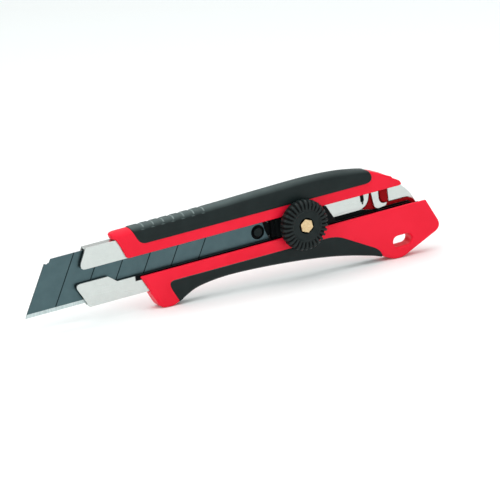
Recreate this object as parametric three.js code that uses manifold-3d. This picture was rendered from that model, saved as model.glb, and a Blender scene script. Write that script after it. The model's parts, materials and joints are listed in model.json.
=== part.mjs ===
// Heavy-duty snap-off utility knife. Millimetres, +Z up, +X towards the rear, +Y towards the back side.
// The slide frame is tilted: its x runs along the blade channel, its z across the blade, and y = 0 is the
// middle of the blade. The knife stands on its foot and its rear corner, and the origin is under the foot.
import * as THREE from "three";
import { mergeVertices } from "three/addons/utils/BufferGeometryUtils.js";
import Module from "manifold-3d";

const wasm = await Module();
wasm.setup();

// Stance
const TILT = THREE.MathUtils.degToRad(3.337);
const FOOT_Z = -23.05;

// Blade
const BLADE_TIP_X = -70;
const BLADE_EDGE_Z = -11.4;
const BLADE_WIDTH = 25;
const BLADE_T = 0.7;
const SCORE_ANGLE = THREE.MathUtils.degToRad(61);
const SCORE_PITCH = 14.59;
const SCORE_COUNT = 6;
const SCORE_W = 0.36;
const SCORE_DEPTH = 0.16;
const GROUND_EDGE_H = 1.85;
const BLADE_HOLE_X = 53.4;
const BLADE_HOLE_R = 3.5;

// Sheet-metal channel
const SHEET = 0.9;
const CHANNEL_Y = 2.35;
const CHANNEL_TOP = 14.85;
const CHANNEL_BOTTOM = -13.3;
const LIP_UPPER_Z = 5;
const LIP_LOWER_Z = -4.6;

// Housing and grips
const HALF_T = 3.9;
const EDGE_R = 1.4;
const GRIP_Y = 4.5;
const GRIP_EDGE_R = 1.4;
const GRIP_T = 1;
const GAP = 0.3;
const SLOT_HALF = 5.1;
const CREST_NOTCHES = 7;
const CREST_NOTCH_X = -5.8;
const CREST_NOTCH_PITCH = 5.3;
const LANYARD_X = 128.2;
const LANYARD_Z = -22.1;
const LANYARD_LENGTH = 10.3;
const LANYARD_R = 2.75;
const RIVETS = [[0, 7], [42, -7.6], [82, 7]];

// Carriage and lock wheel
const WHEEL_X = 74.4;
const WHEEL_R = 12.25;
const WHEEL_DISC_R = 7.15;
const WHEEL_FACE_Y = -10.95;
const WHEEL_BACK_Y = -5.3;
const RIDGES = 30;
const RIDGE_DEPTH = 0.55;
const HEX_AF = 6;
const HEX_TURN = THREE.MathUtils.degToRad(7);
const STUD_R = 2;
const RAIL_Y = -3;
const RAIL_BOTTOM = -4.2;
const RAIL_TOP = 4.5;
const BLOCK_Y = -1.25;

// Catch at the rear of the slot
const CATCH_PIVOT = [121.5, 6.6];
const NIB = [[110.3, 3.8], [111.6, 3.8], [111.7, 1.7], [111.1, 0.1], [110.3, 0.9]];

function solid(geometry) {
  geometry.deleteAttribute("normal");
  geometry.deleteAttribute("uv");
  const g = mergeVertices(geometry, 1e-4);
  const mesh = { numProp: 3, vertProperties: g.attributes.position.array, triVerts: g.index.array };
  return new wasm.Manifold(new wasm.Mesh(mesh));
}

function geometryOf(manifold) {
  const m = manifold.getMesh();
  const g = new THREE.BufferGeometry();
  g.setAttribute("position", new THREE.BufferAttribute(new Float32Array(m.vertProperties), 3));
  g.setIndex(new THREE.BufferAttribute(new Uint32Array(m.triVerts), 1));
  const flat = g.toNonIndexed();
  flat.computeVertexNormals();
  return flat;
}

// A shape drawn in x and z, as a solid from y0 to y1. Its edges may be rounded inwards by r.
function slab(shape, y0, y1, r = 0, curveSegments = 4) {
  const g = new THREE.ExtrudeGeometry(shape, {
    depth: y1 - y0 - 2 * r,
    bevelEnabled: r > 0,
    bevelThickness: r,
    bevelSize: r,
    bevelOffset: -r,
    bevelSegments: 3,
    curveSegments,
  });
  g.rotateX(Math.PI / 2);
  g.translate(0, y1 - r, 0);
  return solid(g);
}

function polygon(points) {
  return new THREE.Shape(points.map(([x, z]) => new THREE.Vector2(x, z)));
}

function box(x0, x1, y0, y1, z0, z1) {
  const g = new THREE.BoxGeometry(x1 - x0, y1 - y0, z1 - z0);
  g.translate((x0 + x1) / 2, (y0 + y1) / 2, (z0 + z1) / 2);
  return solid(g);
}

// A body of revolution about the y axis through x, z: the profile lists [radius, y].
function turned(profile, x, z, segments = 32) {
  const g = new THREE.LatheGeometry(profile.map(([r, y]) => new THREE.Vector2(r, y)), segments);
  g.translate(x, 0, z);
  return solid(g);
}

function disc(r, y0, y1, x, z, segments = 32) {
  return turned([[0, y0], [r, y0], [r, y1], [0, y1]], x, z, segments);
}

function hexagon(acrossFlats) {
  const points = [];
  for (let i = 0; i < 6; i++) {
    const a = HEX_TURN + Math.PI / 2 + (i * Math.PI) / 3;
    const r = acrossFlats / Math.sqrt(3);
    points.push([WHEEL_X + r * Math.cos(a), r * Math.sin(a)]);
  }
  return polygon(points);
}

function stadium(cx, cz, length, r) {
  const s = new THREE.Shape();
  const h = length / 2 - r;
  s.moveTo(cx - h, cz - r);
  s.lineTo(cx + h, cz - r);
  s.absarc(cx + h, cz, r, -Math.PI / 2, Math.PI / 2);
  s.lineTo(cx - h, cz + r);
  s.absarc(cx - h, cz, r, Math.PI / 2, 1.5 * Math.PI);
  return s;
}

function curve(shape, points) {
  shape.splineThru(points.map(([x, z]) => new THREE.Vector2(x, z)));
}

// Side outline of the housing: sloping nose, long crest, split tail, belly arch and foot.
function bodyOutline() {
  const floor = (x) => FOOT_Z - Math.tan(TILT) * x;
  const s = new THREE.Shape();
  s.moveTo(-22.2, 15.5);
  s.quadraticCurveTo(-24.1, 19.1, -19.4, 19.1);
  curve(s, [[25, 19.3], [58, 20], [80, 20.3], [96, 19.6], [106.5, 18], [115.6, 15.6], [124.8, 11.4]]);
  s.quadraticCurveTo(130.9, 8.9, 131, SLOT_HALF);
  s.lineTo(142.9, -SLOT_HALF);
  s.lineTo(148.2, -15.6);
  s.quadraticCurveTo(150.8, -20.3, 145.8, -22.3);
  s.lineTo(131, -28.6);
  s.quadraticCurveTo(127.6, floor(127.6), 124, floor(124));
  s.quadraticCurveTo(121.6, floor(121.6), 117, -27.5);
  curve(s, [[109.8, -25.1], [88.4, -20.4], [61.7, -17.2], [34.9, -15.8], [18.8, -17.2], [10.4, -20]]);
  s.quadraticCurveTo(5.4, floor(5.4), 2.6, floor(2.6));
  s.lineTo(-0.6, floor(-0.6));
  s.quadraticCurveTo(-2.5, floor(-2.5), -4.3, -19);
  s.closePath();
  return s;
}

function upperGripRegion() {
  const s = new THREE.Shape();
  s.moveTo(-15.2, 23);
  s.lineTo(-10.8, 13.6);
  s.quadraticCurveTo(-9.2, 10.1, -5.8, 10.1);
  s.lineTo(110.8, 10.1);
  s.quadraticCurveTo(115.8, 10.1, 115.2, 13.6);
  s.quadraticCurveTo(114.6, 16.4, 110.5, 23);
  s.closePath();
  return s;
}

function lowerGripRegion() {
  const s = new THREE.Shape();
  s.moveTo(8.6, -25);
  s.lineTo(3.9, -15.4);
  s.quadraticCurveTo(1.9, -10.7, 5.8, -10.7);
  s.lineTo(86.5, -10.7);
  s.quadraticCurveTo(92.6, -10.7, 97, -13.1);
  s.lineTo(112.4, -21.6);
  s.quadraticCurveTo(117.4, -24.6, 116.4, -29.5);
  s.lineTo(116.4, -33);
  s.lineTo(8.6, -33);
  s.closePath();
  return s;
}

function shrunk(shape, by, y0, y1) {
  const g = new THREE.ExtrudeGeometry(shape, {
    depth: y1 - y0 - 2,
    bevelEnabled: true,
    bevelThickness: 1,
    bevelSize: 0.01,
    bevelOffset: -by - 0.01,
    bevelSegments: 1,
    curveSegments: 4,
  });
  g.rotateX(Math.PI / 2);
  g.translate(0, y1 - 1, 0);
  return solid(g);
}

// Blade: flat strip with a slanted front, a ground edge and score lines.
function makeBlade() {
  const slant = 1 / Math.tan(SCORE_ANGLE);
  const top = BLADE_EDGE_Z + BLADE_WIDTH;
  const outline = polygon([
    [BLADE_TIP_X, BLADE_EDGE_Z],
    [BLADE_TIP_X + 23.4 * slant, BLADE_EDGE_Z + 23.4],
    [BLADE_TIP_X + 14.2, BLADE_EDGE_Z + 22.9],
    [BLADE_TIP_X + 15.6, BLADE_EDGE_Z + 23.4],
    [BLADE_TIP_X + 16.6, top],
    [54.6, top],
    [57.2, 0],
    [59.6, -6.2],
    [57.4, BLADE_EDGE_Z],
  ]);
  let blade = slab(outline, -BLADE_T / 2, BLADE_T / 2);
  blade = blade.subtract(disc(BLADE_HOLE_R, -2, 2, BLADE_HOLE_X, 0));
  for (const side of [-1, 1]) {
    const wedge = polygon([
      [side * 0.02, BLADE_EDGE_Z - 0.1],
      [side * (BLADE_T / 2 + 0.02), BLADE_EDGE_Z + GROUND_EDGE_H],
      [side * 2, BLADE_EDGE_Z + GROUND_EDGE_H],
      [side * 2, BLADE_EDGE_Z - 0.1],
    ]);
    const g = new THREE.ExtrudeGeometry(wedge, { depth: 140, bevelEnabled: false });
    g.rotateX(Math.PI / 2);
    g.rotateZ(Math.PI / 2);
    g.translate(BLADE_TIP_X - 5, 0, 0);
    blade = blade.subtract(solid(g));
  }
  for (let i = 1; i <= SCORE_COUNT; i++) {
    const g = new THREE.BoxGeometry(SCORE_W, SCORE_DEPTH * 2, 40);
    g.rotateY(Math.PI / 2 - SCORE_ANGLE);
    const middle = BLADE_EDGE_Z + BLADE_WIDTH / 2;
    g.translate(BLADE_TIP_X + i * SCORE_PITCH + (BLADE_WIDTH / 2) * slant, -BLADE_T / 2, middle);
    blade = blade.subtract(solid(g));
  }
  return blade;
}

function makeChannel() {
  const back = new THREE.Shape();
  back.moveTo(-36.3, CHANNEL_TOP);
  back.lineTo(107.5, CHANNEL_TOP);
  back.lineTo(129.6, 6.4);
  back.quadraticCurveTo(137.6, -0.4, 140.7, -7.4);
  back.lineTo(139.5, CHANNEL_BOTTOM);
  back.lineTo(-37.8, CHANNEL_BOTTOM);
  back.lineTo(-43, -3.2);
  back.lineTo(-40.8, 5);
  back.closePath();
  const upper = new THREE.Shape();
  upper.moveTo(-36.3, CHANNEL_TOP);
  upper.lineTo(-39.6, 8.4);
  upper.quadraticCurveTo(-40.9, LIP_UPPER_Z, -37.4, LIP_UPPER_Z);
  upper.lineTo(118, LIP_UPPER_Z);
  upper.lineTo(107.5, CHANNEL_TOP);
  upper.closePath();
  const lower = new THREE.Shape();
  lower.moveTo(-37.8, CHANNEL_BOTTOM);
  lower.lineTo(-43, -3.8);
  lower.quadraticCurveTo(-44.2, -1.2, -41.1, -1.2);
  lower.lineTo(-26.9, -1.2);
  lower.lineTo(-22.6, LIP_LOWER_Z);
  lower.lineTo(135.5, LIP_LOWER_Z);
  lower.lineTo(136.5, -5.6);
  lower.lineTo(139.8, -5.6);
  lower.lineTo(139.5, CHANNEL_BOTTOM);
  lower.closePath();
  let channel = slab(back, CHANNEL_Y - SHEET, CHANNEL_Y);
  channel = channel.add(slab(upper, -CHANNEL_Y, SHEET - CHANNEL_Y));
  channel = channel.add(slab(lower, -CHANNEL_Y, SHEET - CHANNEL_Y));
  channel = channel.add(box(-36.3, 107.5, -CHANNEL_Y, CHANNEL_Y, CHANNEL_TOP - SHEET, CHANNEL_TOP));
  channel = channel.add(box(-37.8, 139.5, -CHANNEL_Y, CHANNEL_Y, CHANNEL_BOTTOM, CHANNEL_BOTTOM + SHEET));
  for (const [x, z] of RIVETS) {
    channel = channel.subtract(disc(1.5, 0.5, 3, x, z, 20));
  }
  return channel;
}

function makeHousing() {
  let housing = slab(bodyOutline(), -HALF_T, HALF_T, EDGE_R);
  const cavity = polygon([
    [-50, CHANNEL_BOTTOM - GAP],
    [-50, CHANNEL_TOP + GAP],
    [108.2, CHANNEL_TOP + GAP],
    [129.8, 6.9],
    [145, 6.9],
    [145, -SLOT_HALF],
    [141.2, -SLOT_HALF],
    [141.2, CHANNEL_BOTTOM - GAP],
  ]);
  const cavityY = CHANNEL_Y + GAP;
  housing = housing.subtract(slab(cavity, -cavityY, cavityY));
  housing = housing.subtract(box(-60, 160, -9, 0, -SLOT_HALF, SLOT_HALF));
  const tail = polygon([[130.4, SLOT_HALF], [137.4, -SLOT_HALF], [150, -SLOT_HALF], [150, SLOT_HALF]]);
  housing = housing.subtract(slab(tail, -9, 9));
  const backTail = polygon([[137.4, -4], [137.4, -5.2], [139.4, -7.6], [150, -7.6], [150, -4]]);
  housing = housing.subtract(slab(backTail, -cavityY, 9));
  const lanyard = stadium(LANYARD_X, LANYARD_Z, LANYARD_LENGTH, LANYARD_R);
  housing = housing.subtract(slab(lanyard, -9, 9));
  const recessY = GRIP_Y - GRIP_T - GAP;
  const upperCore = slab(bodyOutline(), -recessY, recessY).translate([0, 0, -GRIP_T - GAP]);
  const lowerCore = slab(bodyOutline(), -recessY, recessY).translate([0, 0, GRIP_T + GAP]);
  housing = housing.subtract(slab(upperGripRegion(), -9, 9).subtract(upperCore));
  housing = housing.subtract(slab(lowerGripRegion(), -9, 9).subtract(lowerCore));
  for (const [x, z] of RIVETS) {
    housing = housing.subtract(disc(1.5, 2, 9, x, z, 20));
    housing = housing.subtract(disc(2.7, 2.95, 9, x, z, 20));
  }
  return housing;
}

function makeGrip(region, coreShift) {
  let grip = slab(bodyOutline(), -GRIP_Y, GRIP_Y, GRIP_EDGE_R);
  grip = grip.intersect(shrunk(region, GAP, -9, 9));
  const coreY = GRIP_Y - GRIP_T;
  return grip.subtract(slab(bodyOutline(), -coreY, coreY).translate([0, 0, coreShift]));
}

function makeUpperGrip() {
  let grip = makeGrip(upperGripRegion(), -GRIP_T);
  for (let i = 0; i < CREST_NOTCHES; i++) {
    const x = CREST_NOTCH_X + i * CREST_NOTCH_PITCH;
    grip = grip.subtract(box(x - 0.7, x + 0.7, -9, 9, 18.7, 30));
  }
  return grip;
}

function makeCarriage() {
  const plate = stadium(53.2, 0, 16, 4);
  let carriage = slab(plate, 0.65, 1.15);
  const block = polygon([[57.6, -8.4], [60.4, -8.4], [84, -8.4], [84, 8.4], [55.6, 8.4], [57.9, 0]]);
  carriage = carriage.add(slab(block, BLOCK_Y, 0).subtract(box(50, 60.4, -2, 2, -9, 9)));
  carriage = carriage.add(box(60.4, 61.4, BLOCK_Y, 1.15, -4, 4));
  const rail = polygon([[62, RAIL_BOTTOM], [94.1, RAIL_BOTTOM], [89.6, RAIL_TOP], [62, RAIL_TOP]]);
  carriage = carriage.add(slab(rail, RAIL_Y, BLOCK_Y + 0.05));
  const pocket = box(67.4, 81.4, -1.5, 2, -9, 9);
  carriage = carriage.subtract(pocket);
  carriage = carriage.subtract(disc(STUD_R + GAP, -5, 2, WHEEL_X, 0));
  return carriage;
}

// Knurled wheel: a turned body whose rim rises and falls once per ridge.
function makeWheel() {
  const face = WHEEL_FACE_Y;
  const back = WHEEL_BACK_Y;
  const profile = [
    [0, face + 0.5],
    [WHEEL_DISC_R - 0.4, face + 0.5],
    [WHEEL_DISC_R, face + 0.35],
    [WHEEL_DISC_R + 0.5, face],
    [WHEEL_R - 2.2, face],
    [WHEEL_R - 1, face + 0.4],
    [WHEEL_R - 0.25, face + 1.2],
    [WHEEL_R, face + 2.3],
    [WHEEL_R - 0.2, back - 1.1],
    [WHEEL_R - 1.2, back - 0.2],
    [WHEEL_R - 2.4, back],
    [4, back],
    [0, back],
  ];
  const points = profile.map(([r, y]) => new THREE.Vector2(r, y));
  const g = new THREE.LatheGeometry(points, RIDGES * 4);
  const p = g.attributes.position;
  const mid = (face + back) / 2;
  for (let i = 0; i < p.count; i++) {
    const ring = Math.floor(i / profile.length) % 4;
    const r = Math.hypot(p.getX(i), p.getZ(i));
    const onRim = r > WHEEL_DISC_R + 0.4 && i % profile.length > 2;
    if (ring > 1 && onRim) {
      const k = (r - RIDGE_DEPTH) / r;
      const side = Math.sign(mid - p.getY(i));
      const lift = Math.abs(mid - p.getY(i)) > 2.2 ? RIDGE_DEPTH : 0;
      p.setXYZ(i, p.getX(i) * k, p.getY(i) + side * lift, p.getZ(i) * k);
    }
  }
  g.translate(WHEEL_X, 0, 0);
  let wheel = solid(g);
  wheel = wheel.subtract(slab(hexagon(HEX_AF + 0.4), face - 1, face + 3.4));
  wheel = wheel.subtract(disc(STUD_R + GAP, face, 0, WHEEL_X, 0));
  return wheel;
}

function makeSpringWasher() {
  const r = 3.9;
  const washer = disc(r, -4.95, -4.25, WHEEL_X, 0).subtract(disc(2.4, -6, -3, WHEEL_X, 0));
  return washer.subtract(box(WHEEL_X - 0.5, WHEEL_X + 0.5, -6, -3, 0, 6));
}

function makeGuideStrip() {
  const s = new THREE.Shape();
  s.moveTo(89.4, -3.1);
  s.lineTo(108.5, -3.1);
  s.quadraticCurveTo(112.6, -2.7, 114.1, 0.6);
  s.lineTo(115, 3.6);
  s.lineTo(115, 6.4);
  s.lineTo(89.4, 6.4);
  s.closePath();
  const slit = polygon([[110, 4.2], [111.9, 4.2], [112, 1.6], [111.2, -0.9], [110, 0.4]]);
  return slab(s, 0.55, 1.15).subtract(slab(slit, 0, 2));
}

function makeTailPlate() {
  const s = new THREE.Shape();
  s.moveTo(125.2, -2.4);
  s.lineTo(134.4, -2.4);
  s.quadraticCurveTo(136.2, -2.4, 137.3, -3.4);
  s.lineTo(138.4, -3.2);
  s.quadraticCurveTo(135.4, 2.4, 129.2, 6.4);
  s.lineTo(125.2, 8.6);
  s.closePath();
  return slab(s, 0.55, 1.15);
}

function makeCatchLever() {
  const [x, z] = CATCH_PIVOT;
  const s = new THREE.Shape();
  s.moveTo(119.6, 6);
  s.lineTo(120.1, 0.9);
  s.quadraticCurveTo(120.6, -1.7, 122.4, -1.7);
  s.quadraticCurveTo(123.9, -1.5, 124.1, -0.2);
  s.lineTo(124.1, 6);
  s.lineTo(123.4, 7.7);
  s.quadraticCurveTo(121.5, 9.6, 119.4, 7.9);
  s.closePath();
  return slab(s, -1, 0.25).subtract(disc(1.05, -3, 3, x, z, 24));
}

function makeCatchClip() {
  const s = new THREE.Shape();
  s.moveTo(115.5, 4.4);
  s.lineTo(115.9, 0.3);
  s.lineTo(116.2, -1.4);
  s.quadraticCurveTo(116.2, -4, 118.8, -4.2);
  s.lineTo(122.3, -3.7);
  s.quadraticCurveTo(123.3, -3.4, 123.2, -2.2);
  s.lineTo(121.4, -2.2);
  s.quadraticCurveTo(119.5, -1.9, 119.2, 0.6);
  s.lineTo(119.3, 4.4);
  s.closePath();
  return slab(s, -0.9, 0.25);
}

// Plastic bed behind the catch, with an arm that runs under the tail plate.
function makeCatchBed() {
  const [x, z] = CATCH_PIVOT;
  const s = new THREE.Shape();
  s.moveTo(115.3, 6.4);
  s.lineTo(115.3, 3.5);
  s.lineTo(114.4, 0.5);
  s.quadraticCurveTo(113.2, -2.4, 110.4, -3.1);
  s.lineTo(116, -4.3);
  s.lineTo(134.8, -4.3);
  s.quadraticCurveTo(136.4, -4.3, 137.2, -6.4);
  s.lineTo(139.3, -6.4);
  s.quadraticCurveTo(139, -4.6, 137.6, -3.9);
  s.quadraticCurveTo(136.4, -2.8, 134.2, -2.8);
  s.lineTo(124.9, -2.8);
  s.lineTo(124.9, 6.4);
  s.closePath();
  return slab(s, 0.55, 1.15).subtract(disc(1.05, -3, 3, x, z, 24));
}

// Plastic liner along the bottom of the slot, behind the carriage's path.
function makeSlideLiner() {
  const s = new THREE.Shape();
  s.moveTo(89.4, -9);
  s.lineTo(136.2, -9);
  s.lineTo(136.2, -5.6);
  s.quadraticCurveTo(136, -4.6, 134.9, -4.6);
  s.lineTo(115.8, -4.6);
  s.lineTo(110.2, -3.4);
  s.lineTo(89.4, -3.4);
  s.closePath();
  return slab(s, 0.55, 1.15);
}

function makeRivet(x, z) {
  const shank = [[0, 0.65], [2.1, 0.65], [2.1, 1.15], [1.2, 1.15], [1.2, 3.3]];
  const head = [[2.4, 3.3], [2.4, 3.7], [2, HALF_T], [0, HALF_T]];
  return turned([...shank, ...head], x, z, 20);
}

const RED = [0xdc2233, 0.36, 0];
const RUBBER = [0x23292b, 0.7, 0];
const STEEL = [0xc9cdca, 0.28, 1];
const BLADE_STEEL = [0x4c5c61, 0.34, 1];
const BLACK = [0x1d2022, 0.5, 0];
const BRASS = [0xd9b27a, 0.3, 1];
const DARK_RED = [0x8e0d14, 0.4, 0];

const group = new THREE.Group();
group.name = "utility_knife";
const slide = new THREE.Group();
slide.rotation.y = -TILT;
slide.position.set(Math.sin(TILT) * FOOT_Z, 0, -Math.cos(TILT) * FOOT_Z);
group.add(slide);

function add(name, shape, [color, roughness, metalness]) {
  const material = new THREE.MeshStandardMaterial({ color, roughness, metalness });
  const mesh = new THREE.Mesh(geometryOf(shape), material);
  mesh.name = name;
  slide.add(mesh);
}

add("blade", makeBlade(), BLADE_STEEL);
add("channel", makeChannel(), STEEL);
add("housing", makeHousing(), RED);
add("top_grip", makeUpperGrip(), RUBBER);
add("bottom_grip", makeGrip(lowerGripRegion(), GRIP_T), RUBBER);
add("carriage", makeCarriage(), BLACK);
add("blade_boss", disc(2.15, -0.9, 0.35, BLADE_HOLE_X, 0), BLACK);
add("clamp_plate", box(68, 80.8, -1.15, -0.35, -8.6, 8.6).subtract(disc(2.1, -3, 3, WHEEL_X, 0)), STEEL);
add("clamp_stud", disc(STUD_R, -7.2, -0.1, WHEEL_X, 0), STEEL);
add("flat_washer", disc(4.2, -3.9, -3.3, WHEEL_X, 0).subtract(disc(2.4, -6, 0, WHEEL_X, 0)), STEEL);
add("spring_washer", makeSpringWasher(), STEEL);
add("lock_wheel", makeWheel(), BLACK);
add("wheel_insert", slab(hexagon(HEX_AF), WHEEL_FACE_Y + 0.05, WHEEL_FACE_Y + 3.2), BRASS);
add("guide_strip", makeGuideStrip(), STEEL);
add("slide_liner", makeSlideLiner(), BLACK);
add("strip_nib", slab(polygon(NIB), 0.7, 1.15), BLACK);
add("catch_bed", makeCatchBed(), DARK_RED);
add("catch_clip", makeCatchClip(), STEEL);
add("catch_lever", makeCatchLever(), DARK_RED);
add("catch_pin", disc(0.75, -1.15, 1.15, ...CATCH_PIVOT, 20), STEEL);
add("tail_plate", makeTailPlate(), STEEL);
RIVETS.forEach(([x, z], i) => add("rivet_" + (i + 1), makeRivet(x, z), STEEL));

export default group;
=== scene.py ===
"""Looks of the snap-off utility knife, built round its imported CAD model.

Lengths named in millimetres belong to the slide frame: x along the blade channel towards the rear,
y from the blade's middle plane towards the back, z across the blade. slide_to_row places them.
"""
import json
import math
from functools import partial

import bmesh
import bpy
import numpy as np
import openvdb
from mathutils import Matrix, Vector


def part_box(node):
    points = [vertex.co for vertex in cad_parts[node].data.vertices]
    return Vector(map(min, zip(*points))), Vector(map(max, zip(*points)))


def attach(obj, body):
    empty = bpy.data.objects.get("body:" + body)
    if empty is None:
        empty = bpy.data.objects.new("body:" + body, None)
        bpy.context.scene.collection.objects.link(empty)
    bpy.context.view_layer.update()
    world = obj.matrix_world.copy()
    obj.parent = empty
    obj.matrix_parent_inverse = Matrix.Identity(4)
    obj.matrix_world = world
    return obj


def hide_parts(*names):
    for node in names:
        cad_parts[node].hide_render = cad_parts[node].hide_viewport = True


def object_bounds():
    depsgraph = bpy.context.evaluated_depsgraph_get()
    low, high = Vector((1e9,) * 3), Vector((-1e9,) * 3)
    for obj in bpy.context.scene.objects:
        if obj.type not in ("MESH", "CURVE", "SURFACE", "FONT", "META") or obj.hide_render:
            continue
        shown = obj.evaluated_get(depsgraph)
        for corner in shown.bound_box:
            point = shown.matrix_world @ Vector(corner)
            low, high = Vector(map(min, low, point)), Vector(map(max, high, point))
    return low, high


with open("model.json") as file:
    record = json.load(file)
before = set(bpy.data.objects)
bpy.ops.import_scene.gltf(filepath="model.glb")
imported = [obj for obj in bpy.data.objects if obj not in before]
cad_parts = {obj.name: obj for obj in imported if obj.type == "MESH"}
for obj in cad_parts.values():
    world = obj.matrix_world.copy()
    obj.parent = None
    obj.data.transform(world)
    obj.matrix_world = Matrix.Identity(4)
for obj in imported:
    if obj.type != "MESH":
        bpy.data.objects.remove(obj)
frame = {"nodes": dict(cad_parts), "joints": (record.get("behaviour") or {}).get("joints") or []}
cad_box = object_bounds()

MM = 0.001
NODES = frame["nodes"]
JOINTS = {joint["name"]: joint for joint in frame["joints"]}

# The slide frame, from the carriage's joint and the lock wheel's axis
AXIS = Vector(JOINTS["carriage_slide"]["axis"])
UP = Vector((-AXIS.z, 0, AXIS.x))
TILT = math.atan2(AXIS.z, AXIS.x)
WHEEL_AT = Vector(JOINTS["wheel_turn"]["pos_m"])
WHEEL_X = 74.4
ORIGIN = Vector((WHEEL_AT.x, 0, WHEEL_AT.z)) - AXIS * WHEEL_X * MM

# Blade
EDGE_Z = -11.4
GROUND_EDGE = 1.85
TIP_X = -70.0
SCORE_PITCH = 14.59
SCORE_SLANT = 1 / math.tan(math.radians(61))
SCORES = 6

# Channel and the painted shade on the lip along the slot's lower edge
CHANNEL_TOP = 14.85
CHANNEL_BOTTOM = -13.3
CHANNEL_Y = 2.35
SHADED_LIP_X = -13.4
SHADED_LIP_Z = -7.0
LIP_INNER_Y = 1.3

# Housing and grips
HALF_T = 3.9
CREST_DROP = 0.37
FOOT_Z = -23.05
GRIP_PROUD = 0.35
GRIP_RECESS = 0.45
GRIP_OVERLAP = 0.6
CLEARANCE = 0.3
SLOT_HALF = 5.1
TAIL_CUT = (130.0, SLOT_HALF)
TAIL_CUT_FACING = (0.825, 0.566)
BACK_CUT = (138.3, -6.4)
BACK_CUT_FACING = (0.77, 0.64)
BACK_CUT_Z = -7.6
VOXEL = 0.28
LANYARD = (128.2, -22.1)
LANYARD_HALF = 2.4
LANYARD_R = 2.75
CREST_STEPS = 7
CREST_STEP_X = -6.9
CREST_STEP_PITCH = 5.3
CREST_STEP_W = 1.4
CREST_STEP_Z = 17.2
RIVETS = ["rivet_1", "rivet_2", "rivet_3"]
RIVET_SINK_R = 2.7
RIVET_SINK_Y = 2.9

# Lock wheel
WHEEL_R = 12.25
DISC_R = 7.15
RIDGES = 30
RIDGE_DEPTH = 1.05
STEPS_PER_RIDGE = 14

# Rounded edges of the CAD nodes that stay in view
WELD_GAP = 1e-6
BEVEL_ANGLE = math.radians(35)

# Stage, in metres and watts: each light's place, its aim from the object's middle, its size and power
FLOOR_HALF = 6.0
SKY = 0.36
LIGHTS = {
    "top_softbox": ((0, 0.02, 1.0), (0, 0, 0), (1.8, 1.5), 14),
    "front_softbox": ((0.35, -0.9, 0.5), (0, 0, 0), (0.9, 0.9), 2.8),
    "left_softbox": ((-0.8, -0.25, 0.35), (0, 0, 0), (0.5, 0.5), 2.5),
    "floor_softbox": ((0, 2.6, 1.6), (0, 2.2, 0), (2.5, 1.5), 11),
}

# Camera
CAMERA_AZIMUTH = math.radians(27.026)
CAMERA_ELEVATION = math.radians(15.474)
CAMERA_ROLL = math.radians(3.99)
CAMERA_DISTANCE = 2.0311
AIM_BEHIND_TIP = 0.1182
AIM_Y = 0.00035
AIM_Z = 0.01802
FOCAL_IN_WIDTHS = 8.632
SENSOR_MM = 36.0
FARTHEST = 50


# ---------------------------------------------------------------- frame and mesh helpers

def slide_to_row():
    """Matrix from slide-frame millimetres to the part's own frame in metres."""
    rows = ((AXIS.x, 0, UP.x, ORIGIN.x), (0, 1, 0, 0), (AXIS.z, 0, UP.z, ORIGIN.z), (0, 0, 0, 1))
    return Matrix(rows) @ Matrix.Scale(MM, 4)


def piece(name, points, faces, body, node, material):
    """A smooth-shaded mesh given in slide-frame millimetres, standing for a CAD node."""
    mesh = bpy.data.meshes.new(name)
    turn = np.array(slide_to_row())
    placed = np.asarray(points, float) @ turn[:3, :3].T + turn[:3, 3]
    mesh.from_pydata(placed.tolist(), [], np.asarray(faces).tolist())
    made = bpy.data.objects.new(name, mesh)
    bpy.context.scene.collection.objects.link(made)
    mesh.shade_smooth()
    mesh.materials.append(material)
    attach(made, body)
    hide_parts(node)
    return made


def smoothstep(low, high, value):
    """0 at low and 1 at high, with a smooth rise between them."""
    t = np.clip((value - low) / (high - low), 0, 1)
    return t * t * (3 - 2 * t)


def smooth_max(a, b, radius):
    """The larger of two distances, with the edge where they meet rounded."""
    h = np.maximum(radius - np.abs(a - b), 0) / radius
    return np.maximum(a, b) + h * h * radius * 0.25


class Outline:
    """A closed outline in x and z from lines, quadratic curves and splines through points."""

    def __init__(self, x, z):
        self.points = [(x, z)]

    def line(self, x, z):
        self.points.append((x, z))

    def quad(self, cx, cz, x, z, steps=8):
        x0, z0 = self.points[-1]
        for i in range(1, steps + 1):
            t = i / steps
            a, b, c = (1 - t) ** 2, 2 * t * (1 - t), t * t
            self.points.append((a * x0 + b * cx + c * x, a * z0 + b * cz + c * z))

    def spline(self, through, steps=10):
        knots = [self.points[-1], *through]
        padded = [knots[0], *knots, knots[-1]]
        for p0, p1, p2, p3 in zip(padded, padded[1:], padded[2:], padded[3:]):
            for i in range(1, steps + 1):
                t = i / steps
                point = [
                    0.5 * (2 * b + (c - a) * t + (2 * a - 5 * b + 4 * c - d) * t**2
                           + (3 * b - a - 3 * c + d) * t**3)
                    for a, b, c, d in zip(p0, p1, p2, p3)
                ]
                self.points.append(tuple(point))

    def distance(self, x, z):
        """Signed distance from the outline, negative inside."""
        nearest = np.full(x.shape, 1e9, np.float32)
        inside = np.zeros(x.shape, bool)
        for (ax, az), (bx, bz) in zip(self.points, self.points[1:] + self.points[:1]):
            ex, ez = bx - ax, bz - az
            if ex * ex + ez * ez < 1e-9:
                continue
            wx, wz = x - ax, z - az
            t = np.clip((wx * ex + wz * ez) / (ex * ex + ez * ez), 0, 1)
            nearest = np.minimum(nearest, (wx - ex * t) ** 2 + (wz - ez * t) ** 2)
            if az != bz:
                crosses = (az > z) != (bz > z)
                inside ^= crosses & (x < ex * (z - az) / ez + ax)
        return np.where(inside, -1, 1) * np.sqrt(nearest)


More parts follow.
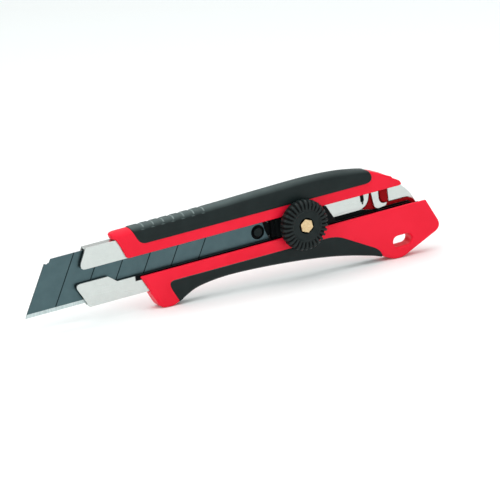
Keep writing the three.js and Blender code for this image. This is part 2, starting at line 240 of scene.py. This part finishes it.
def surface(field, low, high, voxel=VOXEL):
    """Points and quads of the zero surface of field(x, y, z), sampled between two corners."""
    x, y, z = (np.arange(a, b + voxel, voxel, dtype=np.float32) for a, b in zip(low, high))
    values = field(x[:, None, None], y[None, :, None], z[None, None, :])
    grid = openvdb.FloatGrid(3.0)
    grid.copyFromArray(np.ascontiguousarray(values, np.float32))
    points, quads = grid.convertToQuads(0.0)
    points = np.asarray(points, float) * voxel + np.array(low)
    quads = np.asarray(quads, int)
    a, b, c, d = (points[quads[:, i]] for i in range(4))
    volume = np.einsum("ij,ij->i", a, np.cross(b, c) + np.cross(c, d)).sum()
    return points, quads if volume > 0 else quads[:, ::-1]


def thin_out(made, ratio):
    """Fewer faces where the surface is flat."""
    decimate = made.modifiers.new("fewer faces", "DECIMATE")
    decimate.ratio = ratio


def soften(node, width, segments):
    """Rounds the edges of a CAD node that stays in view, by a width in millimetres."""
    made = NODES[node]
    weld = made.modifiers.new("weld", "WELD")
    weld.merge_threshold = WELD_GAP
    bevel = made.modifiers.new("rounded edges", "BEVEL")
    bevel.width = width * MM
    bevel.segments = segments
    bevel.limit_method = "ANGLE"
    bevel.angle_limit = BEVEL_ANGLE
    bevel.harden_normals = True
    bevel.use_clamp_overlap = True
    return made


# ---------------------------------------------------------------- materials

class Shader:
    """A node material with a Principled shader and slide-frame millimetre coordinates."""

    def __init__(self, name, **sockets):
        self.material = bpy.data.materials.new(name)
        self.material.use_nodes = True
        self.tree = self.material.node_tree
        self.principled = self.tree.nodes["Principled BSDF"]
        for socket, value in sockets.items():
            self.principled.inputs[socket.replace("_", " ")].default_value = value
        coordinates = self.node("ShaderNodeTexCoord")
        self.facing = coordinates.outputs["Normal"]
        self.slide = self.node("ShaderNodeMapping")
        self.slide.inputs["Scale"].default_value = (1000, 1000, 1000)
        self.slide.inputs["Rotation"].default_value = (0, TILT, 0)
        offset = (-ORIGIN.dot(AXIS) / MM, 0, -ORIGIN.dot(UP) / MM)
        self.slide.inputs["Location"].default_value = offset
        self.join(coordinates.outputs["Object"], self.slide.inputs["Vector"])

    def node(self, kind, **settings):
        made = self.tree.nodes.new(kind)
        for key, value in settings.items():
            setattr(made, key, value)
        return made

    def join(self, output, socket):
        self.tree.links.new(output, socket)

    def stretched(self, scale):
        """Slide-frame coordinates scaled along each axis."""
        made = self.node("ShaderNodeMapping")
        made.inputs["Scale"].default_value = scale
        self.join(self.slide.outputs["Vector"], made.inputs["Vector"])
        return made.outputs["Vector"]

    def noise(self, scale, detail=3.0, rough=0.5, stretch=(1, 1, 1)):
        """Noise whose features are about 1 / scale millimetres."""
        made = self.node("ShaderNodeTexNoise")
        made.inputs["Scale"].default_value = scale
        made.inputs["Detail"].default_value = detail
        made.inputs["Roughness"].default_value = rough
        self.join(self.stretched(stretch), made.inputs["Vector"])
        return made.outputs["Fac"]

    def span(self, value, low, high, to_low, to_high):
        """The value carried from one range to another, held at its ends."""
        made = self.node("ShaderNodeMapRange")
        made.inputs["From Min"].default_value = low
        made.inputs["From Max"].default_value = high
        made.inputs["To Min"].default_value = to_low
        made.inputs["To Max"].default_value = to_high
        self.join(value, made.inputs["Value"])
        return made.outputs["Result"]

    def math(self, operation, a, b=None):
        made = self.node("ShaderNodeMath", operation=operation)
        for socket, value in zip(made.inputs, (a, b)):
            if value is None:
                continue
            if isinstance(value, (int, float)):
                socket.default_value = value
            else:
                self.join(value, socket)
        return made.outputs["Value"]

    def product(self, *factors):
        result = factors[0]
        for factor in factors[1:]:
            result = self.math("MULTIPLY", result, factor)
        return result

    def mix(self, factor, first, second):
        made = self.node("ShaderNodeMix", data_type="RGBA")
        self.join(factor, made.inputs[0])
        for socket, value in ((made.inputs[6], first), (made.inputs[7], second)):
            if isinstance(value, tuple):
                socket.default_value = (*value, 1)
            else:
                self.join(value, socket)
        return made.outputs[2]

    def axis(self, name):
        made = self.node("ShaderNodeSeparateXYZ")
        self.join(self.slide.outputs["Vector"], made.inputs["Vector"])
        return made.outputs[name]

    def colour(self, output):
        self.join(output, self.principled.inputs["Base Color"])

    def roughness(self, output):
        self.join(output, self.principled.inputs["Roughness"])

    def bump(self, height, strength, distance):
        made = self.node("ShaderNodeBump")
        made.inputs["Strength"].default_value = strength
        made.inputs["Distance"].default_value = distance * MM
        self.join(height, made.inputs["Height"])
        self.join(made.outputs["Normal"], self.principled.inputs["Normal"])


def moulded_plastic(name, dark, light, roughness, grain, strength, gloss=0.15):
    """Injection-moulded plastic: a fine spark-eroded grain and slight cloudiness."""
    s = Shader(name, Specular_IOR_Level=gloss)
    cloud = s.noise(0.05, 2)
    s.colour(s.mix(s.span(cloud, 0.35, 0.65, 0, 1), dark, light))
    s.roughness(s.span(s.noise(0.6, 3), 0.3, 0.7, roughness - 0.05, roughness + 0.05))
    s.bump(s.noise(grain, 2, 0.6), strength, 0.06)
    return s.material


def wheel_plastic():
    """Moulded black plastic, glossier on the wheel's ridges, with painted highlight on the ridges and
    painted shade between them.
    """
    s = Shader("wheel_plastic", Specular_IOR_Level=0.17)
    across = s.math("SUBTRACT", s.axis("X"), WHEEL_X)
    up = s.axis("Z")
    radius = s.math("SQRT", s.math("ADD", s.product(across, across), s.product(up, up)))
    wave = s.math("COSINE", s.product(s.math("ARCTAN2", up, across), RIDGES))
    knurled = s.span(radius, DISC_R + 0.4, DISC_R + 1.1, 0, 1)
    # Painted shade: the grooves between ridges are painted near black. Painted highlight: the knurled
    # rim is painted lighter than the plain disc.
    groove = s.product(s.span(wave, -0.55, -0.1, 1, 0), knurled)
    cloud = s.noise(0.3, 3)
    plain = s.mix(s.span(cloud, 0.35, 0.65, 0, 1), (0.005, 0.010, 0.010), (0.009, 0.015, 0.015))
    ridge = s.mix(knurled, plain, (0.011, 0.017, 0.017))
    s.colour(s.mix(groove, ridge, (0.0006, 0.001, 0.001)))
    patches = s.span(s.noise(0.9, 3), 0.3, 0.7, -0.04, 0.04)
    s.roughness(s.math("ADD", s.span(groove, 0, 1, 0.34, 0.6), patches))
    s.bump(s.noise(2.8, 2, 0.6), 0.2, 0.05)
    return s.material


def rubber():
    """Soft dark overmould with a fine grain, with a painted sheen on upward-facing surfaces towards the
    front and painted highlights on the crest's ticks.
    """
    s = Shader("grip_rubber", Specular_IOR_Level=0.2, Sheen_Weight=0.1, Sheen_Roughness=0.3)
    cloud = s.noise(0.12, 3)
    plain = s.mix(s.span(cloud, 0.35, 0.65, 0, 1), (0.003, 0.009, 0.009), (0.006, 0.013, 0.013))
    x, z = s.axis("X"), s.axis("Z")
    # Painted highlight: pale ticks along the edges of the grooves across the crest.
    first = CREST_STEP_X - CREST_STEP_PITCH / 2
    last = first + CREST_STEPS * CREST_STEP_PITCH
    place = s.math("FLOORED_MODULO", s.math("SUBTRACT", x, first), CREST_STEP_PITCH)
    off = s.math("ABSOLUTE", s.math("SUBTRACT", place, CREST_STEP_PITCH / 2 + CREST_STEP_W / 2))
    ladder = s.product(s.math("GREATER_THAN", x, first), s.math("LESS_THAN", x, last))
    edge = s.product(s.span(off, 0.1, 0.45, 1, 0), s.span(z, 17.6, 18.4, 0, 1))
    painted_tick_highlight = s.product(edge, ladder, s.span(s.noise(1.2, 2), 0.3, 0.6, 0.55, 1))
    # Painted sheen: upward-facing rubber is painted paler, most towards the front, where the top light
    # catches the crest.
    upward = s.node("ShaderNodeSeparateXYZ")
    s.join(s.facing, upward.inputs["Vector"])
    painted_crest_sheen = s.product(
        s.span(upward.outputs["Z"], 0.35, 0.95, 0, 1),
        s.span(x, 40, 100, 1, 0.35),
        s.span(cloud, 0.3, 0.7, 0.75, 1),
    )
    paler = s.mix(painted_crest_sheen, plain, (0.070, 0.102, 0.100))
    s.colour(s.mix(painted_tick_highlight, paler, (0.19, 0.24, 0.235)))
    s.roughness(s.span(s.noise(0.9, 3), 0.3, 0.7, 0.36, 0.46))
    s.bump(s.noise(2.6, 2, 0.65), 0.35, 0.08)
    return s.material


def sheet_steel(name, base, low, high, shaded_lip=False):
    """Rolled steel sheet with its grain along the handle, which can blacken the slot's lower lip as
    painted shade.
    """
    s = Shader(name, Metallic=1.0, Anisotropic=0.35)
    grain = s.noise(1.0, 4, 0.6, (0.05, 6, 6))
    scuff = s.noise(0.25, 5, 0.7)
    tone = s.mix(s.span(scuff, 0.3, 0.7, 0, 1), tuple(0.93 * c for c in base), base)
    if shaded_lip:
        # Painted shade: the lip's face behind the slot's lower edge is painted near black, where shade
        # falls between blade and housing.
        behind_start = s.span(s.axis("X"), SHADED_LIP_X - 0.3, SHADED_LIP_X + 0.3, 0, 1)
        on_face = s.math("LESS_THAN", s.axis("Y"), -LIP_INNER_Y)
        below_slot = s.math("LESS_THAN", s.axis("Z"), 0)
        above_end = s.math("GREATER_THAN", s.axis("Z"), SHADED_LIP_Z)
        lip_shade = s.product(behind_start, on_face, below_slot, above_end)
        tone = s.mix(lip_shade, tone, (0.006, 0.006, 0.007))
    s.colour(tone)
    s.roughness(s.span(grain, 0.25, 0.75, low, high))
    s.bump(grain, 0.06, 0.04)
    return s.material


def blade_steel():
    """Dark tempered strip with a bright ground edge and painted shade in the score lines."""
    s = Shader("blade_steel", Metallic=1.0)
    x, z = s.axis("X"), s.axis("Z")
    haze = s.noise(0.16, 4, 0.6)
    flat = s.mix(s.span(haze, 0.3, 0.7, 0, 1), (0.073, 0.118, 0.130), (0.086, 0.137, 0.149))
    # Painted shade: the score lines are darkened where their grooves lie in shade.
    lean = s.product(s.math("SUBTRACT", z, EDGE_Z), SCORE_SLANT)
    along = s.math("SUBTRACT", s.math("SUBTRACT", x, TIP_X), lean)
    place = s.math("PINGPONG", along, SCORE_PITCH / 2)
    past_tip = s.math("GREATER_THAN", along, SCORE_PITCH * 0.5)
    before_end = s.math("LESS_THAN", along, SCORE_PITCH * (SCORES + 0.5))
    line = s.product(s.span(place, 0.1, 0.42, 1, 0), s.product(past_tip, before_end))
    with_score_shade = s.mix(line, flat, (0.012, 0.018, 0.02))
    ground = s.span(z, EDGE_Z + GROUND_EDGE - 0.05, EDGE_Z + GROUND_EDGE + 0.05, 1, 0)
    stroke = s.noise(1.6, 3, 0.6, (1, 1, 0.12))
    bright = s.mix(s.span(stroke, 0.3, 0.7, 0, 1), (0.46, 0.54, 0.54), (0.67, 0.74, 0.74))
    s.colour(s.mix(ground, with_score_shade, bright))
    s.roughness(s.span(s.noise(0.8, 4, 0.6, (0.2, 1, 1)), 0.3, 0.7, 0.34, 0.44))
    s.bump(s.noise(2.0, 3, 0.6, (0.1, 1, 1)), 0.05, 0.03)
    return s.material


def brass():
    """Brass with fine marks and a slight tarnish."""
    s = Shader("brass", Metallic=1.0)
    tarnish = s.noise(0.9, 4, 0.6)
    s.colour(s.mix(s.span(tarnish, 0.35, 0.7, 0, 1), (0.72, 0.54, 0.32), (0.61, 0.44, 0.24)))
    s.roughness(s.span(s.noise(3.0, 3), 0.3, 0.7, 0.24, 0.38))
    s.bump(s.noise(4.0, 3, 0.6), 0.08, 0.03)
    return s.material


RED = moulded_plastic("red_shell", (0.79, 0.008, 0.030), (0.85, 0.012, 0.038), 0.34, 2.2, 0.12)
# Painted shade: a darker copy of the red plastic, for red parts behind the steel that sit in shade.
SHADED_RED = moulded_plastic(
    "dark_red_plastic", (0.26, 0.001, 0.003), (0.32, 0.002, 0.006), 0.32, 2.2, 0.1, gloss=0.05
)
BLACK = moulded_plastic("black_plastic", (0.004, 0.010, 0.010), (0.008, 0.015, 0.015), 0.42, 2.8, 0.2)
# Painted shade: black plastic made darker still and less glossy, for the carriage, the liner and the
# nib that sit in shade.
SHADED_BLACK = moulded_plastic(
    "black_plastic_painted_shade", (0.003, 0.004, 0.005), (0.006, 0.008, 0.008), 0.5, 2.8, 0.2, gloss=0.05
)
RUBBER = rubber()
WHEEL_PLASTIC = wheel_plastic()
CHANNEL_STEEL = sheet_steel("channel_steel", (0.62, 0.65, 0.63), 0.24, 0.40, shaded_lip=True)
SMALL_STEEL = sheet_steel("small_steel", (0.50, 0.51, 0.50), 0.26, 0.42)
BLADE = blade_steel()
BRASS = brass()


# ---------------------------------------------------------------- housing and grips

def floor_z(x):
    """Height in the slide frame of the surface that the knife stands on."""
    return FOOT_Z - math.tan(TILT) * x


def body_outline():
    low = CREST_DROP
    o = Outline(-22.2, 15.5)
    o.quad(-24.0, 19.1 - low, -19.4, 19.1 - low)
    crest = [(25, 19.3), (58, 20), (80, 20.3), (96, 19.6), (106.5, 18), (115.6, 15.6), (124.8, 11.4)]
    o.spline([(x, z - low) for x, z in crest])
    o.line(126, 10.8 - low)
    o.line(126.5, 9.9 - low)
    o.line(129.2, 8.4 - low)
    o.quad(130.6, 7.6 - low, 130.7, 6.2 - low)
    o.line(130.7, SLOT_HALF)
    o.line(142.9, -SLOT_HALF)
    o.line(148.0, -15.6)
    o.quad(150.6, -20.3, 145.7, -22.3)
    o.line(131, -28.6)
    o.quad(127.6, floor_z(127.6), 124, floor_z(124))
    o.quad(121.6, floor_z(121.6), 117, -27.5)
    o.spline([(109.8, -25.1), (88.4, -20.4), (61.7, -17.2), (34.9, -15.8), (18.8, -17.2), (10.4, -20)])
    o.quad(5.4, floor_z(5.4), 2.6, floor_z(2.6))
    o.line(-0.6, floor_z(-0.6))
    o.quad(-2.5, floor_z(-2.5), -4.3, -19)
    return o


def upper_grip_region():
    o = Outline(-15.2, 23)
    o.line(-10.8, 13.6)
    o.quad(-9.2, 10.1, -5.8, 10.1)
    o.line(110.8, 10.1)
    o.quad(115.8, 10.1, 115.2, 13.6)
    o.quad(114.6, 16.4, 110.5, 23)
    return o


def lower_grip_region():
    o = Outline(8.6, -25)
    o.line(3.9, -15.4)
    o.quad(1.9, -10.7, 5.8, -10.7)
    o.line(86.5, -10.7)
    o.quad(92.6, -10.7, 97, -13.1)
    o.line(112.4, -21.6)
    o.quad(117.4, -24.6, 116.4, -29.5)
    o.line(116.4, -33)
    o.line(8.6, -33)
    return o


def body_field(x, y, z):
    """Distance from the plain rounded body, before any slot is cut. edge is its edges' radius."""
    side = body_outline().distance(*np.broadcast_arrays(x, z))
    tail = smoothstep(98, 120, x)
    foot = (1 - smoothstep(-20, -14, z)) * (1 - smoothstep(8, 20, x))
    tail_end = smoothstep(124, 128, x)
    crest = 1.2 * smoothstep(4, 12, z) * (1 - tail)
    edge = 2.0 + crest - tail - 0.5 * tail_end - foot
    a, b = side + edge, np.abs(y) - HALF_T + edge
    outside = np.sqrt(np.maximum(a, 0) ** 2 + np.maximum(b, 0) ** 2)
    return outside + np.minimum(np.maximum(a, b), 0) - edge


def box_field(x, y, z, low, high):
    """Distance from an upright box."""
    gaps = [np.maximum(a - v, v - b) for v, a, b in zip((x, y, z), low, high)]
    return np.maximum(np.maximum(gaps[0], gaps[1]), gaps[2])


def cavity_field(x, y, z):
    """The room for the channel inside the housing."""
    o = Outline(-50, CHANNEL_BOTTOM - CLEARANCE)
    o.line(-50, CHANNEL_TOP + CLEARANCE)
    o.line(108.2, CHANNEL_TOP + CLEARANCE)
    o.line(129.8, 6.9)
    o.line(146, 6.9)
    o.line(146, -SLOT_HALF)
    o.line(141.2, -SLOT_HALF)
    o.line(141.2, CHANNEL_BOTTOM - CLEARANCE)
    side = o.distance(*np.broadcast_arrays(x, z))
    return np.maximum(side, np.abs(y) - CHANNEL_Y - CLEARANCE)


def slant_field(x, z, through, facing):
    """Distance past a slanted plane, positive on the side that it faces."""
    return (x - through[0]) * facing[0] + (z - through[1]) * facing[1]


def lanyard_field(x, z):
    """Distance from the lanyard slot's round-ended outline."""
    along = np.maximum(np.abs(x - LANYARD[0]) - LANYARD_HALF, 0)
    return np.sqrt(along**2 + (z - LANYARD[1]) ** 2) - LANYARD_R


def housing_field(x, y, z):
    """The body with its slot, tail, channel, lanyard slot, grip recesses and rivet seats cut out."""
    body = body_field(x, y, z)
    recess = []
    for region in (upper_grip_region(), lower_grip_region()):
        inset = region.distance(*np.broadcast_arrays(x, z)) + GRIP_OVERLAP
        recess.append(np.maximum(inset, -(body + GRIP_RECESS)))
    slot = box_field(x, y, z, (-80, -20, -SLOT_HALF), (170, 0, SLOT_HALF))
    tail = np.maximum(-slant_field(x, z, TAIL_CUT, TAIL_CUT_FACING), np.abs(z) - SLOT_HALF)
    behind = np.maximum(-CHANNEL_Y - CLEARANCE - y, BACK_CUT_Z - z)
    behind = np.maximum(behind, -slant_field(x, z, BACK_CUT, BACK_CUT_FACING))
    body = smooth_max(body, -tail, 0.5)
    body = smooth_max(body, -behind, 0.3)
    body = smooth_max(body, -slot, 0.7)
    body = smooth_max(body, -cavity_field(x, y, z), 0.3)
    body = smooth_max(body, -lanyard_field(x, z), 1.1)
    for cut in recess:
        body = np.maximum(body, -cut)
    for node in RIVETS:
        low, high = (Vector(corner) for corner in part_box(node))
        centre = (low + high) / 2 - ORIGIN
        across = np.sqrt((x - centre.dot(AXIS) / MM) ** 2 + (z - centre.dot(UP) / MM) ** 2)
        body = smooth_max(body, -np.maximum(across - RIVET_SINK_R, RIVET_SINK_Y - y), 0.4)
    return body


def grip_field(x, y, z, region, stepped):
    """A skin over the body inside a region, with grooves across its crest if it is stepped."""
    body = body_field(x, y, z)
    side = region.distance(*np.broadcast_arrays(x, z))
    grip = smooth_max(body - GRIP_PROUD, side, 0.9)
    grip = np.maximum(grip, -(body + 1.0))
    if stepped:
        for i in range(CREST_STEPS):
            at = CREST_STEP_X + i * CREST_STEP_PITCH
            groove = np.maximum(np.abs(x - at) - CREST_STEP_W / 2, CREST_STEP_Z - z)
            grip = smooth_max(grip, -np.maximum(groove, -(body - 0.12)), 0.25)
    return grip


def make_housing():
    points, quads = surface(housing_field, (-26, -4.6, -32), (151, 4.6, 21.5))
    made = piece("housing_shell", points, quads, "frame", "housing", RED)
    thin_out(made, 0.35)


def make_grips():
    grips = {
        "top_grip": (upper_grip_region(), True, (-18, -5, 8), (118, 5, 21.8)),
        "bottom_grip": (lower_grip_region(), False, (1, -5, -31), (119, 5, -9.4)),
    }
    for node, (region, stepped, low, high) in grips.items():
        field = partial(grip_field, region=region, stepped=stepped)
        points, quads = surface(field, low, high)
        made = piece(node + "_rubber", points, quads, "frame", node, RUBBER)
        thin_out(made, 0.4)


# ---------------------------------------------------------------- lock wheel

def wheel_profile(face, back):
    """Radius and y from the hexagon's recess over the face and rim to the stud's hole."""
    o = Outline(3.78, face + 3.3)
    o.line(3.78, face + 0.62)
    o.quad(3.8, face + 0.45, 4.0, face + 0.45, 3)
    o.line(DISC_R - 0.5, face + 0.45)
    o.quad(DISC_R - 0.1, face + 0.45, DISC_R, face + 0.2, 4)
    o.quad(DISC_R + 0.1, face, DISC_R + 0.5, face, 4)
    o.line(WHEEL_R - 3.2, face)
    o.quad(WHEEL_R, face, WHEEL_R, face + 2.8, 10)
    o.line(WHEEL_R, back - 2.6)
    o.line(WHEEL_R, back - 2.2)
    o.quad(WHEEL_R, back, WHEEL_R - 2.4, back, 8)
    o.line(4.2, back)
    o.line(2.3, back)
    o.line(2.3, face + 3.3)
    return np.array(o.points)


def make_wheel():
    """The profile turned round the wheel's axis, pressed in towards the rim's middle between ridges."""
    low, high = (Vector(corner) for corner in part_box("lock_wheel"))
    face, back = low.y / MM, high.y / MM
    profile = wheel_profile(face, back)
    steps = RIDGES * STEPS_PER_RIDGE
    angle = np.linspace(0, 2 * math.pi, steps, endpoint=False)
    ridge = np.clip(0.62 + 1.5 * np.cos(angle * RIDGES), 0, 1)
    groove = 1 - ridge * ridge * (3 - 2 * ridge)
    r, y = profile[:, 0], profile[:, 1]
    reach = smoothstep(DISC_R + 0.3, DISC_R + 1.2, r) * smoothstep(back - 0.6, back - 2.4, y)
    depth = RIDGE_DEPTH * groove[:, None] * reach[None, :]
    centre = np.array([WHEEL_R - 3.5, (face + back) / 2])
    aim = centre - profile
    aim /= np.linalg.norm(aim, axis=1, keepdims=True)
    aim[r < WHEEL_R - 3] = (0, 1)
    rr = r[None, :] + depth * aim[None, :, 0]
    yy = y[None, :] + depth * aim[None, :, 1]
    points = np.stack(
        [WHEEL_X + rr * np.cos(angle)[:, None], yy, rr * np.sin(angle)[:, None]], 2
    ).reshape(-1, 3)
    count = len(r)
    faces = []
    for i in range(steps):
        j = (i + 1) % steps
        for k in range(count):
            n = (k + 1) % count
            faces.append((i * count + k, i * count + n, j * count + n, j * count + k))
    made = piece("lock_wheel_knurled", points, faces, "wheel", "lock_wheel", WHEEL_PLASTIC)
    mesh = bmesh.new()
    mesh.from_mesh(made.data)
    bmesh.ops.recalc_face_normals(mesh, faces=mesh.faces)
    mesh.to_mesh(made.data)
    mesh.free()


# ---------------------------------------------------------------- CAD nodes that stay in view

def dress(nodes, material, width, segments=3):
    """Gives CAD nodes their material and rounded edges."""
    for node in nodes:
        made = soften(node, width, segments)
        made.data.materials.clear()
        made.data.materials.append(material)


def make_metal_and_trim():
    dress(["channel"], CHANNEL_STEEL, 0.22)
    dress(["guide_strip", "tail_plate", "catch_clip"], CHANNEL_STEEL, 0.12)
    # Painted shade: the liner and the nib are near-black pieces where the groove below the strip and
    # the strip's slit lie in shade.
    dress(["slide_liner", "strip_nib"], SHADED_BLACK, 0.1)
    # Painted shade: the catch bed and the catch lever wear the darkened red copy.
    dress(["catch_bed"], SHADED_RED, 0.12)
    dress(["blade"], BLADE, 0.04, segments=1)
    # Painted shade: the carriage wears the darkened black copy.
    dress(["carriage"], SHADED_BLACK, 0.2)
    dress(["blade_boss"], BLACK, 0.25)
    dress(["wheel_insert"], BRASS, 0.28)
    dress(["catch_lever"], SHADED_RED, 0.25)
    small = ["flat_washer", "spring_washer", "clamp_stud", "clamp_plate", "catch_pin"]
    dress(small, SMALL_STEEL, 0.12)
    dress(RIVETS, SMALL_STEEL, 0.12)


# ---------------------------------------------------------------- stage, light and camera

def make_floor():
    mesh = bpy.data.meshes.new("floor")
    corners = [(sx * FLOOR_HALF, sy * FLOOR_HALF, 0) for sx, sy in ((-1, -1), (1, -1), (1, 1), (-1, 1))]
    mesh.from_pydata(corners, [], [(0, 1, 2, 3)])
    floor = bpy.data.objects.new("floor", mesh)
    bpy.context.scene.collection.objects.link(floor)
    paper = bpy.data.materials.new("white_paper")
    paper.use_nodes = True
    shader = paper.node_tree.nodes["Principled BSDF"]
    shader.inputs["Base Color"].default_value = (0.895, 0.935, 0.93, 1)
    shader.inputs["Roughness"].default_value = 0.9
    shader.inputs["Specular IOR Level"].default_value = 0.1
    mesh.materials.append(paper)


def make_world():
    world = bpy.data.worlds.new("studio")
    world.use_nodes = True
    world.node_tree.nodes["Background"].inputs["Color"].default_value = (1, 1, 1, 1)
    world.node_tree.nodes["Background"].inputs["Strength"].default_value = SKY
    bpy.context.scene.world = world
    bpy.context.scene.view_settings.view_transform = "Standard"


def area_light(name, at, towards, size, power):
    data = bpy.data.lights.new(name, "AREA")
    data.shape = "RECTANGLE"
    data.size, data.size_y = size
    data.energy = power
    made = bpy.data.objects.new(name, data)
    bpy.context.scene.collection.objects.link(made)
    made.location = at
    made.rotation_euler = (Vector(towards) - Vector(at)).to_track_quat("-Z", "Y").to_euler()


def make_lights():
    low, high = cad_box
    middle = (low + high) / 2
    for name, (place, aim, size, power) in LIGHTS.items():
        area_light(name, middle + Vector(place), middle + Vector(aim), size, power)


def make_camera():
    """A long lens from the lock wheel's side, turned towards the blade and looking slightly down."""
    tip_x = cad_box[0].x
    target = Vector((tip_x + AIM_BEHIND_TIP, AIM_Y, AIM_Z))
    a, e, r = CAMERA_AZIMUTH, CAMERA_ELEVATION, CAMERA_ROLL
    ahead = Vector((math.sin(a) * math.cos(e), math.cos(a) * math.cos(e), -math.sin(e)))
    level = Vector((math.cos(a), -math.sin(a), 0))
    upright = level.cross(ahead)
    right = math.cos(r) * level - math.sin(r) * upright
    up = math.sin(r) * level + math.cos(r) * upright
    data = bpy.data.cameras.new("camera")
    data.sensor_width = SENSOR_MM
    data.lens = FOCAL_IN_WIDTHS * SENSOR_MM
    data.clip_end = FARTHEST
    made = bpy.data.objects.new("camera", data)
    bpy.context.scene.collection.objects.link(made)
    place = target - ahead * CAMERA_DISTANCE
    rows = [(right[i], up[i], -ahead[i], place[i]) for i in range(3)]
    made.matrix_world = Matrix((*rows, (0, 0, 0, 1)))
    bpy.context.scene.camera = made


make_housing()
make_grips()
make_wheel()
make_metal_and_trim()
make_floor()
make_world()
make_lights()
make_camera()
